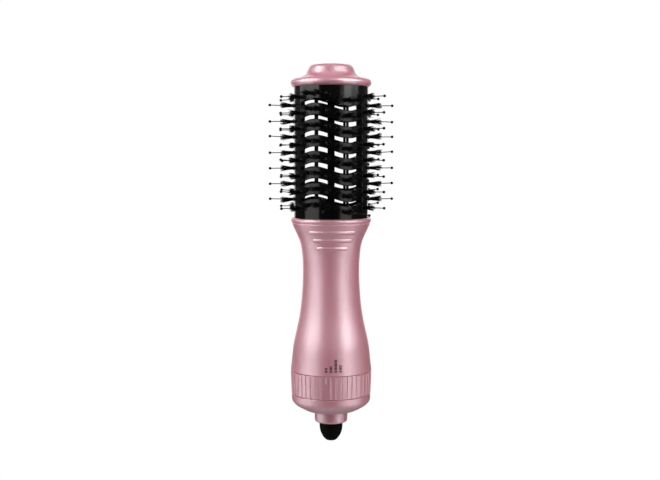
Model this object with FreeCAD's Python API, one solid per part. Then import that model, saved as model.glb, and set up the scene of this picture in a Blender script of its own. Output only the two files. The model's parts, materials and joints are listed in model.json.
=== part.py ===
import FreeCAD, Part
import math
import os

# Round hot air brush: fan handle below, heater in the neck, slotted bristle barrel above.
# Millimetres. Origin on the long axis at the bottom of the cord gland, +Z towards the cool
# tip, -Y is the front. Angles are measured about Z from the front, positive towards +X.

# --- driving dimensions: heights along the axis ---
Z_COLLAR = 15.4          # lower edge of the swivel collar
Z_CAP = 24.0             # underside of the bottom cap
Z_DIAL_LOW = 39.75
Z_DIAL_TOP = 58.3
Z_RIM_TOP = 182.9        # top of the handle, where the barrel enters
Z_TIP_LOW = 288.0        # underside of the cool tip
Z_TOP = 306.5            # overall height
SEAM = 0.4               # gap above and below the dial ring

# --- driving dimensions: radii and walls ---
R_BARREL = 30.0
BARREL_WALL = 1.6
R_SLEEVE = 29.9          # sleeve of the handle that the dial ring turns on
SLEEVE_WALL = 1.8
SHELL_WALL = 2.0
R_DIAL_BORE = 30.0
R_CORD = 3.3             # bore of the gland, for the cord
R_STEM = 6.0             # stem of the gland, which turns in the bush
RUNNING_GAP = 0.05       # radial clearance of the turning fits
R_ROD = 2.9              # tie rod through the barrel
R_SPIDER = 29.5          # flange of the barrel's foot, held between the shells
SPIDER_FLANGE = 1.9
R_SHAFT = 1.0            # motor shaft

# --- bristles and air slots ---
ROW_PITCH = 12.5
BRISTLE_ROWS = 8
FIELD_COLUMNS = (-55.0, -33.5, -20.0, -6.5, 6.5, 20.0, 33.5, 55.0)
WAVE_HEIGHT = 3.1        # rows and slots weave up and down round the barrel
WAVE_CYCLES = 3.33       # wave angle per degree round the barrel
SLOT_HALF_ANGLE = 53.8
SLOT_HEIGHT = 3.3        # of the front slots, at their narrowest
REAR_SLOT_HEIGHT = 4.6
REAR_SLOT_LIFT = 0.5     # the rear slots sit a little higher than the front ones
SLOT_BEVEL = 0.5
RIB_X = 11.9             # inner ribs stand this far each side of the axis
RIB_WIDTH = 2.0
R_PLUG = 1.9
R_PIN = 0.35
R_BALL = 1.15
PIN_REACH = 50.4         # outermost radius of the ball tips
R_TUFT_FOOT = 1.25
R_TUFT_HEAD = 2.3
TUFT_REACH = 41.6

# --- switch dial ---
MARK_ANGLE = -9.2        # marker at rest, over the first setting
SETTING_STEP = 6.8
SETTINGS = 4
DIAL_TRAVEL = SETTING_STEP * (SETTINGS - 1)
FLUTES = 48
FLUTE_RADIUS = 0.9
FLUTE_DEPTH = 0.34
PLAIN_HALF_ANGLE = 6.5   # smooth panel round the marker
LUG_ANGLE = 180.0 - DIAL_TRAVEL / 2
LUG_HALF_ANGLE = 4.5

# --- fan, motor and heater ---
R_DUCT = 20.6
R_FAN = 20.0
R_FAN_HUB = 8.0
FAN_BLADES = 7
BLADE_PITCH = 38.0
R_MOTOR = 13.0
Z_MOTOR_LOW = 60.0
Z_MOTOR_TOP = 90.0
R_SHIELD = 19.7
Z_HEATER_LOW = 106.0
Z_HEATER_TOP = 171.0
COIL_TURNS = 10

R_BARREL_BORE = R_BARREL - BARREL_WALL
R_SLEEVE_BORE = R_SLEEVE - SLEEVE_WALL
BARREL_MID = (Z_RIM_TOP + Z_TIP_LOW) / 2
BARREL_FOOT = Z_RIM_TOP - 4.4
CAP_FLOOR = Z_CAP + 2.6      # inner face of the bottom cap round the swivel collar
FIRST_ROW = BARREL_MID - ROW_PITCH * (BRISTLE_ROWS - 1) / 2

AXIS = FreeCAD.Vector(0, 0, 1)
ORIGIN = FreeCAD.Vector(0, 0, 0)


def point(radius, z, angle=0.0):
    turn = math.radians(angle)
    return FreeCAD.Vector(radius * math.sin(turn), -radius * math.cos(turn), z)


def turned(shape, angle):
    copy = shape.copy()
    copy.rotate(ORIGIN, AXIS, angle)
    return copy


def spline(points):
    curve = Part.BSplineCurve()
    curve.interpolate([point(radius, z) for radius, z in points])
    return curve


def outline_face(start, *steps):
    """Closed outline in the front half plane. A step is ("line", to), ("arc", via, to)
    or ("spline", via, ..., to), each place a (radius, z) pair."""
    edges = []
    here = start
    for kind, *places in steps:
        if kind == "line":
            edges.append(Part.makeLine(point(*here), point(*places[0])))
        elif kind == "arc":
            arc = Part.Arc(point(*here), point(*places[0]), point(*places[1]))
            edges.append(arc.toShape())
        else:
            edges.append(spline([here, *places]).toShape())
        here = places[-1]
    if here != start:
        edges.append(Part.makeLine(point(*here), point(*start)))
    return Part.Face(Part.Wire(edges))


def revolved(start, *steps):
    return outline_face(start, *steps).revolve(ORIGIN, AXIS, 360)


def sector(r_in, r_out, z_low, z_top, angle_from, angle_to):
    corners = [(r_in, z_low), (r_out, z_low), (r_out, z_top), (r_in, z_top), (r_in, z_low)]
    face = Part.Face(Part.makePolygon([point(r, z, angle_from) for r, z in corners]))
    return face.revolve(ORIGIN, AXIS, angle_to - angle_from)


def disc(radius, z_low, z_top):
    return Part.makeCylinder(radius, z_top - z_low, FreeCAD.Vector(0, 0, z_low))


def tube(r_in, r_out, z_low, z_top):
    return disc(r_out, z_low, z_top).cut(disc(r_in, z_low - 1, z_top + 1))


def radial_rod(radius, r_from, r_to, z, angle):
    return Part.makeCylinder(radius, r_to - r_from, point(r_from, z, angle), point(1, 0, angle))


def upright(radius, z_low, z_top, r_place, angle):
    return Part.makeCylinder(radius, z_top - z_low, point(r_place, z_low, angle))


def front_box(width, r_from, r_to, z_low, z_top, angle):
    """Box of the given width, from one radius to another, along the radial line."""
    corner = FreeCAD.Vector(-width / 2, -r_to, z_low)
    return turned(Part.makeBox(width, r_to - r_from, z_top - z_low, corner), angle)


def around(shape, count, first=0.0):
    return [turned(shape, first + 360.0 * i / count) for i in range(count)]


def fused(*shapes):
    return shapes[0].fuse(list(shapes[1:])).removeSplitter()


def save(node, *shapes):
    shape = shapes[0] if len(shapes) == 1 else Part.makeCompound(list(shapes))
    shape.exportStep("parts/" + node + ".step")


def wave(angle):
    return -WAVE_HEIGHT * math.sin(math.radians(WAVE_CYCLES * angle))


# ---------------------------------------------------------------- cord gland and swivel

def make_swivel():
    shoulder_z = 20.5
    stem_top = 31.4
    clip_z = 28.0
    clip_top = 28.9
    groove_r = 5.2
    collar_seat = CAP_FLOOR
    gland = revolved(
        (R_CORD, 0.0),
        ("line", (3.9, 0.0)),
        ("spline", (6.0, 2.0), (7.75, 4.8), (8.75, 7.3), (9.3, 10.2), (9.5, 14.0)),
        ("line", (9.5, shoulder_z)),
        ("line", (R_STEM, shoulder_z)),
        ("line", (R_STEM, clip_z)),
        ("line", (groove_r, clip_z)),
        ("line", (groove_r, clip_top)),
        ("line", (R_STEM, clip_top)),
        ("line", (R_STEM, stem_top)),
        ("line", (R_CORD, stem_top)))
    save("cord_gland", gland)
    clip = tube(groove_r, 8.6, clip_z, clip_top)
    save("gland_clip", clip.cut(front_box(4.0, 2.0, 10.0, clip_z - 1, clip_top + 1, 0)))
    disc_low = 29.6
    ring_top = stem_top + 0.5
    save("slip_ring_disc", tube(R_STEM, 13.0, disc_low, stem_top))
    save("slip_rings", tube(7.0, 9.0, stem_top, ring_top), tube(10.4, 12.4, stem_top, ring_top))
    finger_z = ring_top + 0.3
    bridge_z = 34.0
    fingers = []
    for r_ring, angle in ((8.0, 60.0), (11.4, 120.0)):
        pad = front_box(4.0, r_ring - 0.6, r_ring + 0.6, finger_z, finger_z + 0.4, angle)
        riser = front_box(0.5, r_ring - 0.6, r_ring + 0.6, finger_z, bridge_z, angle)
        fingers.append(fused(pad, riser))
    save("contact_fingers", *fingers)
    hub = tube(R_STEM + 0.5, 14.0, bridge_z, bridge_z + 1.5)
    arm = front_box(4.0, 13.0, 25.9, bridge_z, bridge_z + 1.5, 0)
    save("contact_bridge", fused(hub, *around(arm, 3)))
    save("swivel_bush", tube(R_STEM + RUNNING_GAP, 9.7, 21.0, 27.6))
    save("swivel_collar", revolved(
        (9.75, Z_COLLAR),
        ("line", (11.4, Z_COLLAR)),
        ("arc", (12.8, Z_COLLAR + 0.5), (13.3, Z_COLLAR + 1.8)),
        ("line", (13.5, Z_CAP)),
        ("line", (13.5, collar_seat)),
        ("line", (15.2, collar_seat)),
        ("line", (15.2, collar_seat + 1.4)),
        ("line", (9.75, collar_seat + 1.4))))


# ---------------------------------------------------------------- bottom cap and inlet

def make_bottom_cap():
    z_top = Z_DIAL_LOW - SEAM
    cap = revolved(
        (13.6, Z_CAP),
        ("spline", (17.5, 24.6), (21.5, 25.95), (25.7, 28.2), (29.2, 30.4),
         (31.25, 32.7), (32.1, 35.4)),
        ("line", (32.15, z_top - 0.3)),
        ("line", (31.85, z_top)),
        ("line", (30.05, z_top)),
        ("line", (30.05, 38.0)),
        ("line", (28.0, 38.0)),
        ("line", (28.0, 46.0)),
        ("line", (26.0, 46.0)),
        ("line", (26.0, 36.0)),
        ("line", (29.9, 36.0)),
        ("spline", (29.3, 34.0), (27.2, 31.9), (24.6, 30.3), (20.8, 28.2), (15.6, CAP_FLOOR)),
        ("line", (13.6, CAP_FLOOR)))
    holes = []
    for r_ring, count in ((16.8, 26), (18.9, 30), (21.0, 34)):
        holes += around(upright(0.75, Z_CAP - 1, 31.0, r_ring, 0), count)
    screw_z = 43.0
    screw_angles = (30.0, 150.0, 270.0)
    pilots = [radial_rod(0.85, 25.0, 29.0, screw_z, a) for a in screw_angles]
    save("bottom_cap", cap.cut(Part.makeCompound(holes)).cut(Part.makeCompound(pilots)))
    screws = []
    for angle in screw_angles:
        head = radial_rod(1.8, 28.9, 29.7, screw_z, angle)
        shank = radial_rod(0.85, 26.2, 28.9, screw_z, angle)
        recess = front_box(0.5, 29.3, 30.0, screw_z - 1.3, screw_z + 1.3, angle)
        screws.append(fused(head, shank).cut(recess))
    save("cap_screws", *screws)
    mesh_low = 29.5
    mesh = tube(14.2, 23.0, mesh_low, mesh_low + 0.6)
    cells = []
    for r_ring, count in ((16.0, 24), (18.6, 28), (21.2, 32)):
        cells += around(upright(0.8, mesh_low - 1, mesh_low + 1, r_ring, 0), count)
    save("intake_filter", mesh.cut(Part.makeCompound(cells)))
    return screw_z, screw_angles


# ---------------------------------------------------------------- handle shells

GRIP_BEADS = ((172.5, 41.0), (166.0, 38.0), (159.4, 32.5))    # height, half angle
Z_HANDLE = Z_DIAL_TOP + SEAM
HANDLE_CURVE = (
    (32.9, Z_DIAL_TOP + SEAM + 0.3), (32.2, 65.0), (30.65, 79.6), (27.4, 94.8), (24.75, 109.8),
    (23.25, 127.5), (22.88, 141.0), (23.45, 153.0), (25.2, 163.4), (28.3, 171.0),
    (31.7, 178.3))


def handle_radius(z):
    """Outer radius of the handle at a height, read from its outline."""
    curve = spline(HANDLE_CURVE)
    plane = Part.Plane(FreeCAD.Vector(0, 0, z), AXIS)
    hit = curve.intersect(plane)[0][0]
    return -hit.Y


def handle_solid():
    """The handle's outer form, filled in: the flare, a fine groove, and the rounded rim."""
    return revolved(
        (0.0, Z_HANDLE),
        ("line", (32.6, Z_HANDLE)),
        ("line", HANDLE_CURVE[0]),
        ("spline", *HANDLE_CURVE[1:]),
        ("line", (31.25, 178.95)),
        ("line", (31.85, 179.45)),
        ("arc", (32.5, 181.4), (31.2, Z_RIM_TOP)),
        ("line", (0.0, Z_RIM_TOP)))


def handle_cavity():
    """The space inside the shells, above the web that joins them to their sleeve."""
    z_web = Z_HANDLE + SHELL_WALL
    z_seat = BARREL_FOOT - SPIDER_FLANGE
    flare = [(radius - SHELL_WALL, z) for radius, z in HANDLE_CURVE[1:-1]]
    return revolved(
        (0.0, z_web),
        ("line", (30.75, z_web)),
        ("spline", *flare, (29.2, z_seat)),
        ("line", (0.0, z_seat)))


def grip_bead(z, half_angle):
    bead_r = 2.05
    r_path = handle_radius(z) - 1.4
    turn = half_angle - math.degrees(bead_r / r_path)
    circle = Part.Circle(point(r_path, z), FreeCAD.Vector(1, 0, 0), bead_r)
    face = Part.Face(Part.Wire(circle.toShape()))
    bar = turned(face, -turn).revolve(ORIGIN, AXIS, 2 * turn)
    ends = [Part.makeSphere(bead_r, point(r_path, z, side * turn)) for side in (-1, 1)]
    return fused(bar, *ends)


def hollow_handle(outer, cap_screw_z, cap_screw_angles):
    """Both shells as one: the wall, the sleeve under the dial, and what is cut in them."""
    sleeve_low = Z_DIAL_LOW - SEAM - 1.3
    whole = fused(outer, disc(R_SLEEVE, sleeve_low, Z_DIAL_TOP + 1))
    window_half = DIAL_TRAVEL / 2 + LUG_HALF_ANGLE + 1.2
    cuts = [
        handle_cavity(),
        disc(R_SLEEVE_BORE, sleeve_low - 1, Z_HANDLE + SHELL_WALL + 1),
        disc(R_SPIDER + 0.05, BARREL_FOOT - SPIDER_FLANGE - 0.1, BARREL_FOOT),
        disc(R_BARREL + 0.05, BARREL_FOOT, Z_RIM_TOP + 1),
        sector(27.0, 31.0, 46.6, 51.4, 180 - window_half, 180 + window_half)]
    for angle in cap_screw_angles:
        cuts.append(radial_rod(1.0, 27.0, 31.0, cap_screw_z, angle))
        cuts.append(radial_rod(1.95, 28.8, 31.0, cap_screw_z, angle))
    for cutter in cuts:
        whole = whole.cut(cutter)
    return whole


def make_handle(cap_screw_z, cap_screw_angles):
    outer = handle_solid()
    whole = hollow_handle(outer, cap_screw_z, cap_screw_angles)
    size = 400.0
    half_space = Part.makeBox(size, size, size, FreeCAD.Vector(-size / 2, 0, -20))
    rear = whole.common(half_space)
    front = whole.cut(half_space)
    screws = []
    plugs = []
    back = FreeCAD.Vector(0, 1, 0)
    boss_r = 2.9
    head_r = 1.95
    shank_r = 1.15
    seat_y = 6.0
    pilot_depth = 9.0
    plug_depth = 3.0
    for x, z in ((-22.3, 72.0), (22.3, 72.0), (-23.4, 170.5), (23.4, 170.5)):
        foot = FreeCAD.Vector(x, 0, z)
        seat = foot + back * seat_y
        rear = rear.fuse(Part.makeCylinder(boss_r, size, foot, back).common(outer))
        front = front.fuse(Part.makeCylinder(boss_r, size, foot, back * -1).common(outer))
        rear = rear.cut(Part.makeCylinder(head_r + 0.1, size, seat, back))
        rear = rear.cut(Part.makeCylinder(shank_r + 0.25, seat_y + 1, foot, back))
        front = front.cut(Part.makeCylinder(shank_r, pilot_depth, foot, back * -1))
        shank = Part.makeCylinder(shank_r, seat_y + pilot_depth - 1, seat, back * -1)
        head = Part.makeCylinder(head_r, 1.5, seat, back)
        slot = Part.makeBox(2.6, 0.7, 0.5, seat + FreeCAD.Vector(-1.3, 0.9, -0.25))
        screws.append(fused(shank, head).cut(slot))
        skin_y = math.sqrt(handle_radius(z) ** 2 - x ** 2)
        plug = Part.makeCylinder(head_r, size, foot + back * (skin_y - plug_depth), back)
        plugs.append(plug.common(outer))
    beads = [grip_bead(z, half) for z, half in GRIP_BEADS]
    front = front.fuse(beads)
    save("handle_front_shell", front.removeSplitter())
    save("handle_rear_shell", rear.removeSplitter())
    save("handle_screws", *screws)
    save("screw_plugs", *plugs)


# ---------------------------------------------------------------- switch dial

def flute(angle):
    """Round cutter for one flute, leaning with the ring's slightly conical face."""
    inset = FLUTE_RADIUS - FLUTE_DEPTH
    low = point(32.3 + inset, Z_DIAL_LOW - 0.5, angle)
    rise = point(32.98 + inset, Z_DIAL_TOP + 0.5, angle) - low
    return Part.makeCylinder(FLUTE_RADIUS, rise.Length, low, rise)


def make_dial():
    ring = revolved(
        (R_DIAL_BORE, Z_DIAL_LOW),
        ("line", (31.9, Z_DIAL_LOW)),
        ("arc", (32.17, Z_DIAL_LOW + 0.12), (32.3, Z_DIAL_LOW + 0.4)),
        ("spline", (32.62, 48.0), (32.98, Z_DIAL_TOP - 0.4)),
        ("arc", (32.86, Z_DIAL_TOP - 0.12), (32.6, Z_DIAL_TOP)),
        ("line", (R_DIAL_BORE, Z_DIAL_TOP)))
    step = 360.0 / FLUTES
    grooves = []
    for i in range(FLUTES):
        angle = MARK_ANGLE + PLAIN_HALF_ANGLE + 0.6 + i * step
        past_panel = angle - MARK_ANGLE > 360.0 - PLAIN_HALF_ANGLE
        if not past_panel:
            grooves.append(flute(angle))
    save("dial_ring", ring.cut(Part.makeCompound(grooves)))
    bar = front_box(1.7, 32.0, 33.3, Z_DIAL_TOP - 5.6, Z_DIAL_TOP - 0.3, MARK_ANGLE)
    save("dial_marker", bar.cut(ring))
    lug = sector(26.4, R_DIAL_BORE, 47.0, 51.0, LUG_ANGLE - LUG_HALF_ANGLE,
                 LUG_ANGLE + LUG_HALF_ANGLE)
    save("dial_lug", lug)
    plate = front_box(1.6, 25.9, 26.38, 47.2, 50.2, LUG_ANGLE)
    nose = upright(0.5, 47.6, 49.8, 25.7, LUG_ANGLE)
    save("contact_wiper", fused(plate, nose))
    leaf = front_box(4.2, 25.75, 26.3, 50.4, 55.0, LUG_ANGLE)
    bump = upright(0.7, 52.2, 54.8, 26.3, LUG_ANGLE)
    save("detent_spring", fused(leaf, bump))
    track = sector(27.3, R_SLEEVE_BORE - 0.02, 52.0, 55.0, 180.0 - 16.0, 180.0 + 16.0)
    notches = [upright(0.6, 51.0, 56.0, 27.3, LUG_ANGLE + SETTING_STEP * i)
               for i in range(SETTINGS)]
    save("detent_track", track.cut(Part.makeCompound(notches)))
    save("switch_board", sector(23.4, 24.6, 46.5, 55.0, 160.0, 200.0))
    pads = [sector(24.6, 24.85, 47.5, 50.0, LUG_ANGLE + SETTING_STEP * i - 1.9,
                   LUG_ANGLE + SETTING_STEP * i + 1.9) for i in range(SETTINGS)]
    save("switch_contacts", *pads)


# ---------------------------------------------------------------- fan and motor

def make_fan():
    low = 41.0
    hub = revolved(
        (R_SHAFT, low + 1),
        ("line", (5.5, low + 1)),
        ("arc", (7.4, low + 2), (R_FAN_HUB, low + 4)),
        ("line", (R_FAN_HUB, low + 12)),
        ("line", (R_SHAFT, low + 12)))
    plate = Part.makeBox(1.1, R_FAN - R_FAN_HUB + 3, 13.0,
                         FreeCAD.Vector(-0.55, -R_FAN - 1.5, -6.5))
    plate.rotate(ORIGIN, FreeCAD.Vector(0, 1, 0), BLADE_PITCH)
    plate.translate(FreeCAD.Vector(0, 0, low + 7))
    blade = plate.common(tube(R_FAN_HUB - 1.5, R_FAN, low + 1.5, low + 12))
    save("fan_impeller", fused(hub, *around(blade, FAN_BLADES)))
    duct = tube(R_DUCT, 22.0, low - 1, 62.0)
    flange = tube(21.5, R_SLEEVE_BORE - 0.05, 56.5, 58.5)
    cup = tube(R_MOTOR, 14.2, 55.0, 64.0)
    vane = front_box(1.2, 13.6, 21.0, 55.0, 62.0, 0)
    pad = sector(21.5, 23.4, 46.5, 55.0, 162.0, 198.0)
    save("fan_duct", fused(duct, flange, cup, pad, *around(vane, 6)))


def make_motor():
    low = Z_MOTOR_LOW
    top = Z_MOTOR_TOP
    can = disc(R_MOTOR, low, top).cut(disc(R_MOTOR - 1.0, low + 1.2, top + 1))
    can = can.cut(disc(3.0, low - 1, low + 2))
    save("motor_can", can)
    bell = fused(disc(R_MOTOR, top, top + 2.0), *around(upright(1.2, top + 1, 95.5, 10.5, 0), 2))
    save("motor_end_bell", bell.cut(disc(3.0, top - 1, top + 3)))
    bore = R_SHAFT + RUNNING_GAP
    save("motor_bushes", tube(bore, 3.0, low - 1.0, low + 2.0), tube(bore, 3.0, top, top + 3.0))
    magnet = sector(9.8, R_MOTOR - 1.0, low + 5, low + 24, -58.0, 58.0)
    save("motor_magnets", magnet, turned(magnet, 180.0))
    save("motor_shaft", disc(R_SHAFT, 43.0, 95.0))
    core = tube(R_SHAFT, 9.0, low + 6, low + 23)
    slots = around(upright(1.6, low + 5, low + 24, 7.2, 0), 3)
    save("motor_armature", core.cut(Part.makeCompound(slots)))
    save("motor_commutator", tube(R_SHAFT, 3.0, low + 24.5, low + 28.5))
    save("rectifier_board", tube(2.0, R_MOTOR, 95.5, 97.0))
    save("rectifier_diodes", *around(front_box(5.0, 6.2, 8.8, 97.0, 99.6, 0), 4, 45.0))


# ---------------------------------------------------------------- heater

def make_heater():
    length = Z_HEATER_TOP - Z_HEATER_LOW
    width = 2 * 18.8
    plates = []
    for turn in (0.0, 90.0):
        plate = Part.makeBox(1.0, width, length, FreeCAD.Vector(-0.5, -width / 2, Z_HEATER_LOW))
        plates.append(turned(plate, turn))
    coil_pitch = (length - 14.0) / (COIL_TURNS - 1)
    coils = []
    notches = []
    for i in range(COIL_TURNS):
        z = Z_HEATER_LOW + 7.0 + i * coil_pitch
        coils.append(Part.makeTorus(16.0, 0.45, FreeCAD.Vector(0, 0, z)))
        notches.append(Part.makeTorus(16.0, 0.55, FreeCAD.Vector(0, 0, z)))
    cross = fused(*plates).cut(Part.makeCompound(notches))
    save("heater_mica_cross", cross)
    save("heater_coils", *coils)
    save("heat_shield_tube", tube(R_SHIELD - 0.4, R_SHIELD, Z_HEATER_LOW - 2, 175.5))
    body = Part.makeBox(6.0, 3.6, 9.0, FreeCAD.Vector(4.0, 0.5, Z_HEATER_LOW + 2))
    dome = Part.makeCylinder(2.6, 1.2, FreeCAD.Vector(7.0, 4.1, Z_HEATER_LOW + 6.5),
                             FreeCAD.Vector(0, 1, 0))
    save("thermostat", fused(body, dome))
    fuse_body = Part.makeCylinder(1.4, 11.0, FreeCAD.Vector(-7.0, -1.95, Z_HEATER_LOW + 12))
    save("thermal_fuse", fuse_body)


# ---------------------------------------------------------------- barrel

def band_point(radius, angle, z_mid, offset, mirror):
    place = point(radius, z_mid + wave(angle) + offset, angle)
    if mirror:
        place.y = -place.y
    return place


def wavy_cutter(z_mid, r_in, r_out, half_in, half_out, spread, mirror):
    """Closed solid between two radii whose top and bottom follow the wave."""
    samples = 13

    def edge(radius, offset, widen):
        limit = SLOT_HALF_ANGLE + widen
        angles = [-limit + 2 * limit * i / (samples - 1) for i in range(samples)]
        curve = Part.BSplineCurve()
        curve.interpolate([band_point(radius, a, z_mid, offset, mirror) for a in angles])
        return curve.toShape()

    inner_low = edge(r_in, -half_in, 0.0)
    inner_top = edge(r_in, half_in, 0.0)
    outer_low = edge(r_out, -half_out, spread)
    outer_top = edge(r_out, half_out, spread)
    faces = [Part.makeRuledSurface(*pair) for pair in (
        (inner_low, inner_top), (outer_low, outer_top),
        (inner_low, outer_low), (inner_top, outer_top))]
    for end in (0, -1):
        corners = [e.Vertexes[end].Point for e in (inner_low, inner_top, outer_top, outer_low)]
        faces.append(Part.Face(Part.makePolygon(corners + corners[:1])))
    solid = Part.makeSolid(Part.makeShell(faces))
    if solid.Volume < 0:
        solid.reverse()
    return solid


def bristle_places():
    """Every bristle unit as (group, angle, z): two wavy fields and two side columns."""
    places = []
    for row in range(BRISTLE_ROWS):
        z = FIRST_ROW + row * ROW_PITCH
        for angle in FIELD_COLUMNS:
            places.append(("front", angle, z + wave(angle)))
            places.append(("rear", 180.0 - angle, z + wave(angle)))
    for row in range(BRISTLE_ROWS - 1):
        z = FIRST_ROW + (row + 0.5) * ROW_PITCH
        places.append(("right", 90.0, z))
        places.append(("left", -90.0, z))
    return places


def make_barrel():
    sleeve = tube(R_BARREL_BORE, R_BARREL, BARREL_FOOT, Z_TIP_LOW)
    slots = []
    bevels = []
    for row in range(BRISTLE_ROWS - 1):
        z_mid = FIRST_ROW + (row + 0.5) * ROW_PITCH
        for mirror in (False, True):
            half = (REAR_SLOT_HEIGHT if mirror else SLOT_HEIGHT) / 2
            z = z_mid + (REAR_SLOT_LIFT if mirror else 0.0)
            slots.append(wavy_cutter(z, 27.0, 32.0, half, half, 0.0, mirror))
            bevels.append(wavy_cutter(z, R_BARREL - SLOT_BEVEL, R_BARREL + SLOT_BEVEL,
                                      half, half + 2 * SLOT_BEVEL, 2.0, mirror))
    sockets = [radial_rod(R_PLUG, 27.5, 31.0, z, angle) for _, angle, z in bristle_places()]
    sleeve = sleeve.cut(slots + bevels)
    sleeve = sleeve.cut(sockets)
    save("barrel_sleeve", sleeve)

    flange_low = BARREL_FOOT - SPIDER_FLANGE
    hub = tube(R_ROD, 5.2, flange_low, BARREL_FOOT + 4.5)
    rim = tube(24.0, R_SPIDER, flange_low, BARREL_FOOT)
    neck = tube(26.6, R_BARREL_BORE - 0.05, BARREL_FOOT, 186.0)
    spoke = front_box(2.4, 4.5, 27.0, flange_low, BARREL_FOOT + 3.0, 0)
    save("barrel_spider", fused(rim, neck, hub, *around(spoke, 4, 45.0)))

    rings = [tube(26.9, R_BARREL_BORE - 0.05, 186.0, 188.6),
             tube(26.9, R_BARREL_BORE - 0.05, 279.4, 282.0)]
    ribs = []
    for x in (-RIB_X, RIB_X):
        for y in (-25.1, 21.5):
            corner = FreeCAD.Vector(x - RIB_WIDTH / 2, y, 186.0)
            ribs.append(Part.makeBox(RIB_WIDTH, 3.6, 96.0, corner))
    save("barrel_ribs", fused(*rings, *ribs))
    for node, middle in (("side_liner_right", 90.0), ("side_liner_left", -90.0)):
        liner = sector(26.9, R_BARREL_BORE - 0.05, 188.7, 279.3, middle - 38.0, middle + 38.0)
        save(node, liner)


def make_tie_rod():
    rod_low = BARREL_FOOT - 6.0
    save("tie_rod", disc(R_ROD, rod_low, 294.0))
    hexagon = Part.makePolygon([point(5.0, rod_low + 0.8, 60.0 * i) for i in range(7)])
    nut = Part.Face(hexagon).extrude(FreeCAD.Vector(0, 0, 3.2))
    save("tie_rod_nut", nut.cut(disc(R_ROD, rod_low, rod_low + 8)))


def make_bristles():
    ball_z = PIN_REACH - R_BALL
    foot = R_BARREL_BORE + 0.1
    plug_top = R_BARREL + 0.7
    start = math.sqrt(R_BALL ** 2 - R_PIN ** 2)
    pin = revolved(
        (0.0, foot),
        ("line", (R_PLUG - 0.03, foot)),
        ("line", (R_PLUG - 0.03, plug_top - 0.4)),
        ("line", (R_PLUG - 0.4, plug_top)),
        ("line", (R_PIN, plug_top)),
        ("line", (R_PIN, ball_z - start)),
        ("arc", (R_BALL, ball_z), (0.0, PIN_REACH)))
    tuft = revolved(
        (R_PIN + 0.1, plug_top),
        ("line", (R_TUFT_FOOT, plug_top)),
        ("line", (R_TUFT_HEAD, TUFT_REACH - 1.0)),
        ("line", (R_TUFT_HEAD * 0.7, TUFT_REACH)),
        ("line", (R_PIN + 0.1, TUFT_REACH)))
    groups = {}
    for group, angle, z in bristle_places():
        place = FreeCAD.Placement(FreeCAD.Vector(0, 0, z), FreeCAD.Rotation(AXIS, angle))
        lay_down = FreeCAD.Placement(ORIGIN, FreeCAD.Rotation(FreeCAD.Vector(1, 0, 0), 90))
        for kind, unit in (("pins", pin), ("tufts", tuft)):
            copy = unit.copy()
            copy.Placement = place.multiply(lay_down)
            groups.setdefault(kind + "_" + group, []).append(copy)
    for node, units in groups.items():
        save(node, *units)


def make_cool_tip():
    shell = revolved(
        (26.4, Z_TIP_LOW - 5.0),
        ("line", (R_BARREL_BORE - 0.05, Z_TIP_LOW - 5.0)),
        ("line", (R_BARREL_BORE - 0.05, Z_TIP_LOW)),
        ("line", (30.6, Z_TIP_LOW)),
        ("spline", (31.7, 289.0), (32.45, 291.0), (31.7, 293.2), (29.6, 294.3),
         (26.2, 295.1), (23.4, 295.9), (21.2, 297.2), (19.7, 299.1), (18.55, 301.5), (17.6, 303.5)),
        ("arc", (16.4, 304.8), (14.2, 305.6)),
        ("spline", (9.5, 306.15), (4.5, 306.45), (0.0, Z_TOP)),
        ("line", (0.0, 302.5)),
        ("line", (14.6, 301.5)),
        ("line", (16.4, 297.2)),
        ("line", (18.6, 294.4)),
        ("line", (22.4, 292.6)),
        ("line", (26.4, 291.6)))
    boss = tube(4.2, 6.4, 286.0, 302.4)
    save("cool_tip", fused(shell, boss))
    save("tip_insert", tube(R_ROD, 4.15, 286.5, 298.0))


os.makedirs("parts", exist_ok=True)
make_swivel()
cap_screws = make_bottom_cap()
make_handle(*cap_screws)
make_dial()
make_fan()
make_motor()
make_heater()
make_barrel()
make_tie_rod()
make_bristles()
make_cool_tip()
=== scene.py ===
import json
import math
import random

import bmesh
import bpy
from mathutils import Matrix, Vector
from mathutils.bvhtree import BVHTree


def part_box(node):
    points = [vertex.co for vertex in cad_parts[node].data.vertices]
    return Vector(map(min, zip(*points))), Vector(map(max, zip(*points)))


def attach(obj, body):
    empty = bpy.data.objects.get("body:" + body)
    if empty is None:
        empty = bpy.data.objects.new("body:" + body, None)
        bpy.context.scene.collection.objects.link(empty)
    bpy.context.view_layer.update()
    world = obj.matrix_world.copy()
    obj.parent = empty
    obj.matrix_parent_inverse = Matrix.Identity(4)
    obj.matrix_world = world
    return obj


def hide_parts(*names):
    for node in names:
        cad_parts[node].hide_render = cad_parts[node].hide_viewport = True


# Hot air brush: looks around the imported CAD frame. Metres; -Y is the front, +Z the cool tip.

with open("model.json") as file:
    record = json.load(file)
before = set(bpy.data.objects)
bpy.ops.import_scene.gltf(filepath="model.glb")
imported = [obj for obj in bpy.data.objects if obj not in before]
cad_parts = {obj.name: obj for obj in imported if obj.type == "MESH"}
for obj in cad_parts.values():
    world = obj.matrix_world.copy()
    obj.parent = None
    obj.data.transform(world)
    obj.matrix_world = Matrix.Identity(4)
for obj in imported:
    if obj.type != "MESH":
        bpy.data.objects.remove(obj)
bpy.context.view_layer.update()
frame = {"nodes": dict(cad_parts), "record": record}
NODES = frame["nodes"]
MM = 0.001

# --- bristle field: the same layout as the sockets in the barrel ---
ROWS = 8
ROW_PITCH = 12.5 * MM
# degrees from the front, and the same again from the rear
FIELD_COLUMNS = (-55.0, -33.5, -20.0, -6.5, 6.5, 20.0, 33.5, 55.0)
WAVE_HEIGHT = 3.1 * MM
WAVE_CYCLES = 3.33          # waves round the whole barrel

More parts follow.
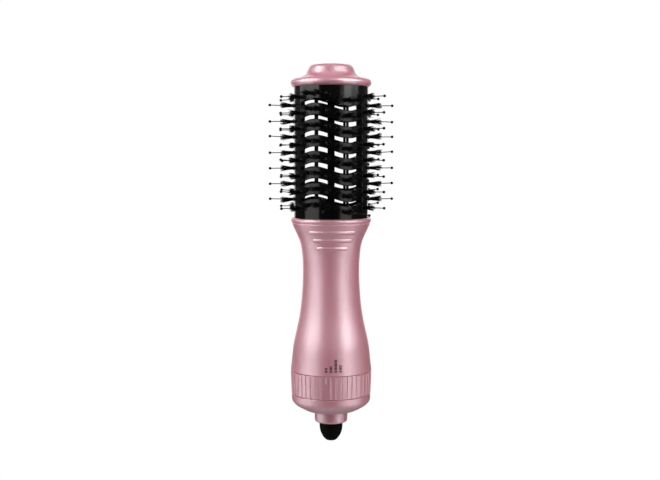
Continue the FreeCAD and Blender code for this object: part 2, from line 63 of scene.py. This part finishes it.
# --- bristle unit; reaches, tops and feet are distances from the axis ---
PLUG_FOOT = 28.5 * MM
PLUG_TOP = 30.7 * MM
R_PLUG = 1.87 * MM
PLUG_SIDES = 18
R_PIN = 0.36 * MM
PIN_REACH = 50.4 * MM
PIN_STEPS = 8
PIN_SIDES = 10
PIN_FILLET = 0.15           # share of the pin's length that thickens into the plug
PIN_SET = 0.35 * MM         # how far a ball tip usually leans off its axis
BENT_PIN_SET = 1.5 * MM
BENT_PINS = 0.07            # share of pins that have been bent
R_BALL = 1.15 * MM
BALL_RINGS = 10
BALL_SIDES = 14
TUFT_REACH = 41.6 * MM
TUFT_SINK = 0.3 * MM        # filaments start this far below the plug's top
TUFT_FOOT = 1.15 * MM       # radius of the tuft where it leaves the plug
TUFT_HEAD = 2.35 * MM       # radius of the tuft at its tips
FILAMENTS = 72
R_FILAMENT = 0.14 * MM
FILAMENT_STEPS = 5
FILAMENT_SIDES = 4
FILAMENT_LEAN = 0.12 * MM

# --- settings printed above the dial; angles in degrees ---
MARK_ANGLE = -9.2
SETTING_STEP = 6.8
SETTING_BARS = (2, 4, 8, 4)     # bars after the numeral of each setting
MARK_LIFT = 23.85 * MM          # foot of the marks above the foot of the handle shell
MARK_HEIGHT = 2.2 * MM          # cap height of a numeral, and the length of a bar
MARK_RADIUS = 32.3 * MM         # of the handle behind the marks
MARK_RELIEF = 0.06 * MM         # the print stands this far off the shell, and sinks as far into it
BAR_GAP = 0.6 * MM              # between the numeral and its first bar
BAR_WIDTH = 0.66 * MM
BAR_PITCH = 1.05 * MM

# --- view ---
CAMERA_DISTANCE = 0.8919
CAMERA_HEIGHT = 0.2345
CAMERA_AZIMUTH = -2.2
CAMERA_PITCH = 4.48
CAMERA_YAW = 0.056
LENS = 60.07

# --- studio ---
FLOOR_SIZE = 60.0
FLOOR_DROP = 0.85
LAMP_DISTANCE = 1.1
# name, azimuths in degrees from the front, heights in metres, radiance
SOFTBOXES = [
    ("left_low", (-114.0, -60.0), (-0.8, -0.1), 1.0),
    ("left_middle", (-88.0, -40.0), (-0.1, 0.35), 1.1),
    ("left_upper", (-112.0, -40.0), (0.35, 0.8), 2.7),
    ("left_high", (-98.0, -52.0), (0.8, 1.8), 3.8),
    ("right_low", (36.0, 90.0), (-0.8, -0.1), 1.0),
    ("right_middle", (26.0, 62.0), (-0.1, 0.35), 1.05),
    ("right_upper", (38.0, 60.0), (0.35, 0.8), 4.8),
    ("right_upper_outer", (60.0, 88.0), (0.35, 0.8), 2.9),
    ("right_high", (20.0, 40.0), (0.8, 1.8), 4.0),
    ("right_high_outer", (40.0, 88.0), (0.8, 1.8), 2.0),
    ("front_high", (-14.0, 6.0), (0.5, 0.9), 0.7),
    ("back", (150.0, 210.0), (-0.1, 1.2), 1.2),
]
OVERHEAD_SIZE = 1.2
OVERHEAD_HEIGHT = 1.6
OVERHEAD_RADIANCE = 0.4
ROOM_FRONT = 0.02
ROOM_BACK = 0.10
CEILING_DIM = 0.15          # the room's light from straight above, as a share of the rest

# Procedural textures keep mostly between these two values.
NOISE_LOW = 0.3
NOISE_HIGH = 0.7


# ---------------------------------------------------------------- materials

def new_material(name, color, rough, metallic=0.0):
    mat = bpy.data.materials.new(name)
    mat.use_nodes = True
    shader = mat.node_tree.nodes["Principled BSDF"]
    shader.inputs["Base Color"].default_value = (*color, 1.0)
    shader.inputs["Roughness"].default_value = rough
    shader.inputs["Metallic"].default_value = metallic
    return mat, shader


class Grain:
    """Small helper that wires procedural detail into one material."""

    def __init__(self, mat, shader):
        self.nodes = mat.node_tree.nodes
        self.links = mat.node_tree.links
        self.shader = shader
        self.coords = self.nodes.new("ShaderNodeTexCoord").outputs["Object"]
        self.normal = None

    def stretch(self, scale):
        mapping = self.nodes.new("ShaderNodeMapping")
        mapping.inputs["Scale"].default_value = scale
        self.links.new(self.coords, mapping.inputs["Vector"])
        return mapping.outputs["Vector"]

    def noise(self, scale, detail=3.0, rough=0.5, vector=None):
        node = self.nodes.new("ShaderNodeTexNoise")
        node.inputs["Scale"].default_value = scale
        node.inputs["Detail"].default_value = detail
        node.inputs["Roughness"].default_value = rough
        self.links.new(vector or self.coords, node.inputs["Vector"])
        return node.outputs["Fac"]

    def cells(self, scale):
        node = self.nodes.new("ShaderNodeTexVoronoi")
        node.inputs["Scale"].default_value = scale
        self.links.new(self.coords, node.inputs["Vector"])
        return node

    def ramp(self, fac, low, high):
        node = self.nodes.new("ShaderNodeValToRGB")
        node.color_ramp.elements[0].position = NOISE_LOW
        node.color_ramp.elements[1].position = NOISE_HIGH
        node.color_ramp.elements[0].color = (*low, 1.0)
        node.color_ramp.elements[1].color = (*high, 1.0)
        self.links.new(fac, node.inputs["Fac"])
        return node.outputs["Color"]

    def spread(self, fac, low, high):
        node = self.nodes.new("ShaderNodeMapRange")
        node.inputs["From Min"].default_value = NOISE_LOW
        node.inputs["From Max"].default_value = NOISE_HIGH
        node.inputs["To Min"].default_value = low
        node.inputs["To Max"].default_value = high
        self.links.new(fac, node.inputs["Value"])
        return node.outputs["Result"]

    def bump(self, fac, height, strength):
        node = self.nodes.new("ShaderNodeBump")
        node.inputs["Strength"].default_value = strength
        node.inputs["Distance"].default_value = height
        self.links.new(fac, node.inputs["Height"])
        if self.normal is not None:
            self.links.new(self.normal, node.inputs["Normal"])
        self.normal = node.outputs["Normal"]
        self.links.new(self.normal, self.shader.inputs["Normal"])

    def to(self, socket, value):
        self.links.new(value, self.shader.inputs[socket])


def shade(color, factor):
    return tuple(min(1.0, c * factor) for c in color)


def metallic_paint(name, pigment, flake):
    """Satin pearl paint: bright metallic flakes scattered in a pigmented lacquer."""
    mat, shader = new_material(name, pigment, 0.38, 0.5)
    grain = Grain(mat, shader)
    cells = grain.cells(9000.0).outputs["Color"]
    grain.to("Base Color", grain.ramp(cells, pigment, flake))
    grain.to("Metallic", grain.spread(cells, 0.0, 1.0))
    grain.to("Roughness", grain.spread(grain.noise(1400.0, 2.0), 0.37, 0.45))
    grain.bump(grain.noise(2600.0, 2.0), 0.012 * MM, 0.5)
    grain.bump(grain.noise(260.0, 2.0), 0.02 * MM, 0.15)
    return mat


def gloss_coating(name, color):
    """Glossy ceramic-style black coating, with a trace of orange peel."""
    mat, shader = new_material(name, color, 0.14)
    shader.inputs["Specular IOR Level"].default_value = 0.52
    grain = Grain(mat, shader)
    grain.to("Base Color", grain.ramp(grain.noise(90.0), shade(color, 0.8), shade(color, 1.3)))
    grain.to("Roughness", grain.spread(grain.noise(420.0, 3.0), 0.11, 0.19))
    grain.bump(grain.noise(520.0, 2.0), 0.012 * MM, 0.25)
    return mat


def moulded_plastic(name, color, rough=0.45, scale=1500.0, height=0.02, gloss=0.5):
    mat, shader = new_material(name, color, rough)
    shader.inputs["Specular IOR Level"].default_value = gloss
    grain = Grain(mat, shader)
    tone = grain.ramp(grain.noise(160.0), shade(color, 0.85), shade(color, 1.15))
    grain.to("Base Color", tone)
    grain.to("Roughness", grain.spread(grain.noise(scale, 3.0), rough - 0.06, rough + 0.08))
    grain.bump(grain.noise(scale, 3.0), height * MM, 0.6)
    return mat


def drawn_metal(name, color, rough=0.28):
    mat, shader = new_material(name, color, rough, 1.0)
    grain = Grain(mat, shader)
    lines = grain.noise(900.0, 4.0, 0.6, grain.stretch((1.0, 1.0, 0.06)))
    grain.to("Base Color", grain.ramp(lines, shade(color, 0.8), shade(color, 1.1)))
    grain.to("Roughness", grain.spread(lines, rough - 0.08, rough + 0.1))
    grain.bump(lines, 0.008 * MM, 0.5)
    return mat


def layered_mica(name, color):
    mat, shader = new_material(name, color, 0.4, 0.25)
    grain = Grain(mat, shader)
    plates = grain.cells(420.0)
    grain.to("Base Color", grain.ramp(plates.outputs["Color"], shade(color, 0.72), shade(color, 1.2)))
    grain.to("Roughness", grain.spread(grain.noise(700.0), 0.3, 0.5))
    grain.bump(plates.outputs["Distance"], 0.03 * MM, 0.5)
    return mat


def nylon(name, color, rough):
    """Black nylon filaments and pins, with a faint sheen along their length."""
    mat, shader = new_material(name, color, rough)
    shader.inputs["Specular IOR Level"].default_value = 0.2
    grain = Grain(mat, shader)
    grain.to("Base Color", grain.ramp(grain.noise(900.0), shade(color, 0.7), shade(color, 1.5)))
    grain.to("Roughness", grain.spread(grain.noise(1800.0), rough - 0.08, rough + 0.1))
    grain.bump(grain.noise(3000.0, 2.0), 0.01 * MM, 0.4)
    return mat


ROSE = (0.90, 0.16, 0.24)
PEARL = (0.82, 0.87, 0.92)
MATERIALS = {
    "pink_shell": metallic_paint("rose_paint", ROSE, PEARL),
    "marker_light": metallic_paint("rose_paint_light", (0.95, 0.60, 0.66), (1.0, 0.97, 1.0)),
    "black_gloss": gloss_coating("black_gloss", (0.003, 0.003, 0.0033)),
    "black_matte": moulded_plastic("black_matte", (0.004, 0.004, 0.0045), 0.48, gloss=0.2),
    "pin_nylon": nylon("pin_nylon", (0.003, 0.003, 0.0035), 0.36),
    "bristle_nylon": nylon("bristle_nylon", (0.002, 0.002, 0.0022), 0.45),
    "black_rubber": moulded_plastic("black_rubber", (0.0015, 0.0015, 0.0015), 0.7, 2200.0, 0.03, 0.08),
    "steel": drawn_metal("steel", (0.58, 0.58, 0.60)),
    "brass": drawn_metal("brass", (0.72, 0.53, 0.25)),
    "copper": drawn_metal("copper", (0.74, 0.42, 0.26)),
    "phenolic": moulded_plastic("phenolic", (0.30, 0.17, 0.07), 0.5, 800.0),
    "white_plastic": moulded_plastic("white_plastic", (0.74, 0.73, 0.69), 0.45),
    "magnet": moulded_plastic("magnet", (0.07, 0.07, 0.075), 0.6, 1200.0, 0.03),
    "mica": layered_mica("mica", (0.58, 0.52, 0.40)),
    "heater_wire": drawn_metal("heater_wire", (0.42, 0.38, 0.34), 0.35),
}


def dress_cad_nodes():
    for entry in frame["record"]["subparts"]:
        node = NODES[entry["node"]]
        node.data.materials.clear()
        node.data.materials.append(MATERIALS[entry["material_slot"]])


# ---------------------------------------------------------------- mesh helpers

def around_axis(radius, angle, z):
    turn = math.radians(angle)
    return Vector((radius * math.sin(turn), -radius * math.cos(turn), z))


def wave(angle):
    return -WAVE_HEIGHT * math.sin(math.radians(WAVE_CYCLES * angle))


def bristle_places():
    """Every bristle unit as (group, angle, z), in a fixed order."""
    handle_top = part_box("handle_front_shell")[1].z
    flange_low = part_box("barrel_sleeve")[1].z
    first = (handle_top + flange_low) / 2 - ROW_PITCH * (ROWS - 1) / 2
    places = []
    for row in range(ROWS):
        z = first + row * ROW_PITCH
        for angle in FIELD_COLUMNS:
            places.append(("front", angle, z + wave(angle)))
            places.append(("rear", 180.0 - angle, z + wave(angle)))
    for row in range(ROWS - 1):
        z = first + (row + 0.5) * ROW_PITCH
        places.append(("right", 90.0, z))
        places.append(("left", -90.0, z))
    return places


def smooth_piece(name, verts, faces, material):
    mesh = bpy.data.meshes.new(name)
    mesh.from_pydata(verts, [], faces)
    mesh.update()
    piece = bpy.data.objects.new(name, mesh)
    bpy.context.scene.collection.objects.link(piece)
    mesh.materials.append(material)
    mesh.polygons.foreach_set("use_smooth", [True] * len(mesh.polygons))
    return piece


def unit_frame(angle):
    out = around_axis(1.0, angle, 0.0)
    return out, Vector((-out.y, out.x, 0.0)), Vector((0.0, 0.0, 1.0))


def lathe_along(verts, faces, path, sides, side, up):
    """Adds a closed round form to verts and faces: path is (centre, radius) pairs."""
    base = len(verts)
    for centre, radius in path:
        for k in range(sides):
            turn = 2 * math.pi * k / sides
            verts.append(centre + (side * math.cos(turn) + up * math.sin(turn)) * radius)
    for ring in range(len(path) - 1):
        for k in range(sides):
            a = base + ring * sides + k
            b = base + ring * sides + (k + 1) % sides
            faces.append((a, b, b + sides, a + sides))
    faces.append(tuple(base + k for k in reversed(range(sides))))
    last = base + (len(path) - 1) * sides
    faces.append(tuple(last + k for k in range(sides)))


# ---------------------------------------------------------------- bristles

def add_filament(verts, faces, rng, root, out, side, up):
    """One bristle of a tuft: it leaves the plug on a ring and fans outwards."""
    turn = rng.uniform(0, 2 * math.pi)
    ring = math.sqrt(rng.uniform(0.16, 1.0))
    foot = ring * TUFT_FOOT
    head = ring * TUFT_HEAD * rng.uniform(0.72, 1.22)
    head_turn = turn + rng.gauss(0.0, 0.22)
    length = (TUFT_REACH - PLUG_TOP) * rng.uniform(0.74, 1.0)
    lean = side * rng.gauss(0.0, FILAMENT_LEAN) + up * rng.gauss(0.0, FILAMENT_LEAN)
    path = []
    for i in range(FILAMENT_STEPS + 1):
        t = i / FILAMENT_STEPS
        spread = foot + (head - foot) * t ** 1.35
        bearing = turn + (head_turn - turn) * t
        across = side * math.cos(bearing) + up * math.sin(bearing)
        centre = root + out * (length * t) + across * spread + lean * (t * t * 3.0)
        path.append((centre, R_FILAMENT * (1.0 - 0.35 * t)))
    lathe_along(verts, faces, path, FILAMENT_SIDES, side, up)


def make_tufts(places):
    for group in ("front", "rear", "left", "right"):
        rng = random.Random("tufts " + group)
        verts = []
        faces = []
        for _, angle, z in [p for p in places if p[0] == group]:
            out, side, up = unit_frame(angle)
            root = out * (PLUG_TOP - TUFT_SINK) + up * z
            tilt = side * rng.gauss(0.0, 0.03) + up * rng.gauss(0.0, 0.04)
            lean = (out + tilt).normalized()
            for _ in range(FILAMENTS):
                add_filament(verts, faces, rng, root, lean, side, up)
        piece = smooth_piece("tuft_filaments_" + group, verts, faces, MATERIALS["bristle_nylon"])
        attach(piece, "root")
        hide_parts("tufts_" + group)


def add_plug(verts, faces, root, out, side, up):
    """Round seat of the pin in the barrel wall, with softened edges."""
    profile = [(PLUG_FOOT, 0.92), (PLUG_FOOT + 0.15 * MM, 1.0), (PLUG_TOP - 0.35 * MM, 1.0),
               (PLUG_TOP - 0.1 * MM, 0.9), (PLUG_TOP, 0.72), (PLUG_TOP + 0.05 * MM, 0.4)]
    path = [(root + out * reach, R_PLUG * share) for reach, share in profile]
    lathe_along(verts, faces, path, PLUG_SIDES, side, up)


def add_shank(verts, faces, root, out, side, up, bend):
    length = PIN_REACH - 2 * R_BALL - PLUG_TOP
    into_ball = 0.2 * MM
    path = []
    for i in range(PIN_STEPS + 1):
        t = i / PIN_STEPS
        flare = 1.0 + 0.8 * max(0.0, PIN_FILLET - t) / PIN_FILLET
        centre = root + out * (PLUG_TOP + (length + into_ball) * t) + bend * t * t
        path.append((centre, R_PIN * flare))
    lathe_along(verts, faces, path, PIN_SIDES, side, up)


def add_ball(verts, faces, centre, out, side, up):
    path = []
    for i in range(BALL_RINGS + 1):
        turn = math.pi * (0.04 + 0.92 * i / BALL_RINGS)
        path.append((centre - out * (R_BALL * math.cos(turn)), R_BALL * math.sin(turn)))
    lathe_along(verts, faces, path, BALL_SIDES, side, up)


def add_pin(verts, faces, rng, out, side, up, z):
    """Plug in the barrel wall, thin shank with a slight set, and a ball tip."""
    root = up * z
    add_plug(verts, faces, root, out, side, up)
    lean = BENT_PIN_SET if rng.random() < BENT_PINS else PIN_SET
    bend = side * rng.gauss(0.0, lean) + up * rng.gauss(0.0, lean)
    add_shank(verts, faces, root, out, side, up, bend)
    add_ball(verts, faces, root + out * (PIN_REACH - R_BALL) + bend, out, side, up)


def make_pins(places):
    for group in ("front", "rear", "left", "right"):
        rng = random.Random("pins " + group)
        verts = []
        faces = []
        for _, angle, z in [p for p in places if p[0] == group]:
            out, side, up = unit_frame(angle)
            add_pin(verts, faces, rng, out, side, up, z)
        piece = smooth_piece("ball_pins_" + group, verts, faces, MATERIALS["pin_nylon"])
        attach(piece, "root")
        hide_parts("pins_" + group)


# ---------------------------------------------------------------- setting marks

def surface_tree(node):
    mesh = NODES[node].data
    return BVHTree.FromPolygons([v.co for v in mesh.vertices],
                                [tuple(p.vertices) for p in mesh.polygons])


def surface_radius(tree, angle, z):
    start = around_axis(0.08, angle, z)
    hit = tree.ray_cast(start, around_axis(-1.0, angle, 0.0))[0]
    return math.hypot(hit.x, hit.y)


def digit_mesh(text, size):
    """The outline of a numeral as a filled flat mesh, lying in XY."""
    curve = bpy.data.curves.new("digit", "FONT")
    curve.body = text
    curve.size = size
    curve.resolution_u = 6
    curve.offset = 0.05 * size
    curve.fill_mode = "FRONT"
    holder = bpy.data.objects.new("digit", curve)
    bpy.context.scene.collection.objects.link(holder)
    bpy.context.view_layer.update()
    mesh = bpy.data.meshes.new_from_object(holder)
    bpy.data.objects.remove(holder)
    return mesh


def add_flat_numeral(bm, text):
    """Adds a numeral of the marks' height, from x = 0 and centred on y = 0; gives its width."""
    start = len(bm.verts)
    bm.from_mesh(digit_mesh(text, MARK_HEIGHT * 1.42))
    bm.verts.ensure_lookup_table()
    digit = bm.verts[start:]
    low = Vector((min(v.co.x for v in digit), min(v.co.y for v in digit)))
    top = Vector((max(v.co.x for v in digit), max(v.co.y for v in digit)))
    scale = MARK_HEIGHT / (top.y - low.y)
    for v in digit:
        v.co = Vector(((v.co.x - low.x) * scale, (v.co.y - (low.y + top.y) / 2) * scale, 0.0))
    return (top.x - low.x) * scale


def add_flat_bar(bm, start):
    half = MARK_HEIGHT / 2
    end = start + BAR_WIDTH
    corners = [(start, -half), (end, -half), (end, half), (start, half)]
    bm.faces.new([bm.verts.new((x, y, 0.0)) for x, y in corners])


def thicken_inwards(bm, depth):
    """Turns the skin of marks into closed thin forms, grown towards the axis."""
    bmesh.ops.recalc_face_normals(bm, faces=bm.faces)
    skin = bmesh.ops.extrude_face_region(bm, geom=list(bm.faces))
    inner = [g for g in skin["geom"] if isinstance(g, bmesh.types.BMVert)]
    for v in inner:
        flat = Vector((v.co.x, v.co.y, 0.0)).normalized()
        v.co -= flat * depth
    bmesh.ops.recalc_face_normals(bm, faces=bm.faces)


def make_setting_marks():
    """A numeral for each setting, turned to read upwards, with plain bars after it."""
    foot_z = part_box("handle_front_shell")[0].z + MARK_LIFT
    places = []
    bm = bmesh.new()
    for setting, bars in enumerate(SETTING_BARS):
        start = len(bm.verts)
        along = add_flat_numeral(bm, str(setting)) + BAR_GAP
        for i in range(bars):
            add_flat_bar(bm, along + i * BAR_PITCH)
        bm.verts.ensure_lookup_table()
        for v in bm.verts[start:]:
            angle = (MARK_ANGLE + SETTING_STEP * setting) - math.degrees(v.co.y / MARK_RADIUS)
            places.append((angle, foot_z + v.co.x))
    tree = surface_tree("handle_front_shell")
    for v, (angle, z) in zip(bm.verts, places):
        v.co = around_axis(surface_radius(tree, angle, z) + MARK_RELIEF, angle, z)
    thicken_inwards(bm, MARK_RELIEF * 2)
    mesh = bpy.data.meshes.new("setting_marks")
    bm.to_mesh(mesh)
    bm.free()
    piece = bpy.data.objects.new("setting_marks", mesh)
    bpy.context.scene.collection.objects.link(piece)
    mesh.materials.append(MATERIALS["black_matte"])
    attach(piece, "root")


# ---------------------------------------------------------------- floor, light and camera

def mixed_for_camera(tree, plain, shown, output):
    """What the camera sees directly is one shader; every other ray meets the plain one."""
    seen = tree.nodes.new("ShaderNodeLightPath")
    mix = tree.nodes.new("ShaderNodeMixShader")
    tree.links.new(seen.outputs["Is Camera Ray"], mix.inputs["Fac"])
    tree.links.new(plain, mix.inputs[1])
    tree.links.new(shown, mix.inputs[2])
    tree.links.new(mix.outputs["Shader"], output)


def make_floor():
    half = FLOOR_SIZE / 2
    low = -FLOOR_DROP
    mesh = bpy.data.meshes.new("studio_floor")
    corners = [(-half, -half, low), (half, -half, low), (half, half, low), (-half, half, low)]
    mesh.from_pydata(corners, [], [(0, 1, 2, 3)])
    floor = bpy.data.objects.new("studio_floor", mesh)
    bpy.context.scene.collection.objects.link(floor)
    mat, shader = new_material("studio_floor", (0.6, 0.6, 0.6), 0.9)
    tree = mat.node_tree
    glow = tree.nodes.new("ShaderNodeEmission")
    glow.inputs["Color"].default_value = (1.0, 1.0, 1.0, 1.0)
    glow.inputs["Strength"].default_value = 1.0
    output = tree.nodes["Material Output"].inputs["Surface"]
    mixed_for_camera(tree, shader.outputs["BSDF"], glow.outputs["Emission"], output)
    mesh.materials.append(mat)


def add_lamp(name, width, length, radiance):
    """Area lamp whose power gives the same radiance at any size."""
    light = bpy.data.lights.new(name, "AREA")
    light.shape = "RECTANGLE"
    light.size = width
    light.size_y = length
    light.energy = radiance * math.pi * width * length
    lamp = bpy.data.objects.new(name, light)
    bpy.context.scene.collection.objects.link(lamp)
    lamp.visible_camera = False
    return lamp


def add_softbox(name, side, height, radiance):
    """Flat lamp facing the axis, from one azimuth to another and one height to another."""
    half_angle = math.radians(side[1] - side[0]) / 2
    width = 2 * LAMP_DISTANCE * math.tan(half_angle)
    lamp = add_lamp(name, width, height[1] - height[0], radiance)
    azimuth = sum(side) / 2
    lamp.location = around_axis(LAMP_DISTANCE, azimuth, sum(height) / 2)
    lamp.rotation_euler = (math.radians(90.0), 0.0, math.radians(azimuth))


def add_overhead():
    """Square lamp straight above the object, facing down."""
    lamp = add_lamp("overhead", OVERHEAD_SIZE, OVERHEAD_SIZE, OVERHEAD_RADIANCE)
    lamp.location = (0.0, 0.0, OVERHEAD_HEIGHT)


def make_world():
    """White behind the object for the camera; for other rays a dim room, brighter at the back."""
    world = bpy.data.worlds.new("studio")
    bpy.context.scene.world = world
    world.use_nodes = True
    tree = world.node_tree
    room = tree.nodes["Background"]
    coords = tree.nodes.new("ShaderNodeTexCoord")
    axes = tree.nodes.new("ShaderNodeSeparateXYZ")
    level = tree.nodes.new("ShaderNodeMapRange")
    level.inputs["From Min"].default_value = -0.3
    level.inputs["From Max"].default_value = 0.7
    level.inputs["To Min"].default_value = ROOM_FRONT
    level.inputs["To Max"].default_value = ROOM_BACK
    tree.links.new(coords.outputs["Generated"], axes.inputs["Vector"])
    tree.links.new(axes.outputs["Y"], level.inputs["Value"])
    ceiling = tree.nodes.new("ShaderNodeMapRange")
    ceiling.inputs["From Min"].default_value = 0.2
    ceiling.inputs["From Max"].default_value = 0.7
    ceiling.inputs["To Min"].default_value = 1.0
    ceiling.inputs["To Max"].default_value = CEILING_DIM
    tree.links.new(axes.outputs["Z"], ceiling.inputs["Value"])
    product = tree.nodes.new("ShaderNodeMath")
    product.operation = "MULTIPLY"
    tree.links.new(level.outputs["Result"], product.inputs[0])
    tree.links.new(ceiling.outputs["Result"], product.inputs[1])
    tree.links.new(product.outputs["Value"], room.inputs["Strength"])
    room.inputs["Color"].default_value = (1.0, 1.0, 1.02, 1.0)
    backdrop = tree.nodes.new("ShaderNodeBackground")
    backdrop.inputs["Color"].default_value = (1.0, 1.0, 1.0, 1.0)
    backdrop.inputs["Strength"].default_value = 1.0
    output = tree.nodes["World Output"].inputs["Surface"]
    mixed_for_camera(tree, room.outputs["Background"], backdrop.outputs["Background"], output)


def make_camera():
    data = bpy.data.cameras.new("camera")
    data.lens = LENS
    data.clip_start = 0.05
    data.clip_end = 100.0
    camera = bpy.data.objects.new("camera", data)
    bpy.context.scene.collection.objects.link(camera)
    camera.location = around_axis(CAMERA_DISTANCE, CAMERA_AZIMUTH, CAMERA_HEIGHT)
    camera.rotation_euler = (math.radians(90.0 - CAMERA_PITCH), 0.0,
                             math.radians(CAMERA_AZIMUTH + CAMERA_YAW))
    bpy.context.scene.camera = camera


def make_studio():
    bpy.context.scene.view_settings.view_transform = "Standard"
    make_floor()
    make_world()
    make_camera()
    for name, side, height, radiance in SOFTBOXES:
        add_softbox(name, side, height, radiance)
    add_overhead()


make_studio()
dress_cad_nodes()
BRISTLES = bristle_places()
make_tufts(BRISTLES)
make_pins(BRISTLES)
make_setting_marks()
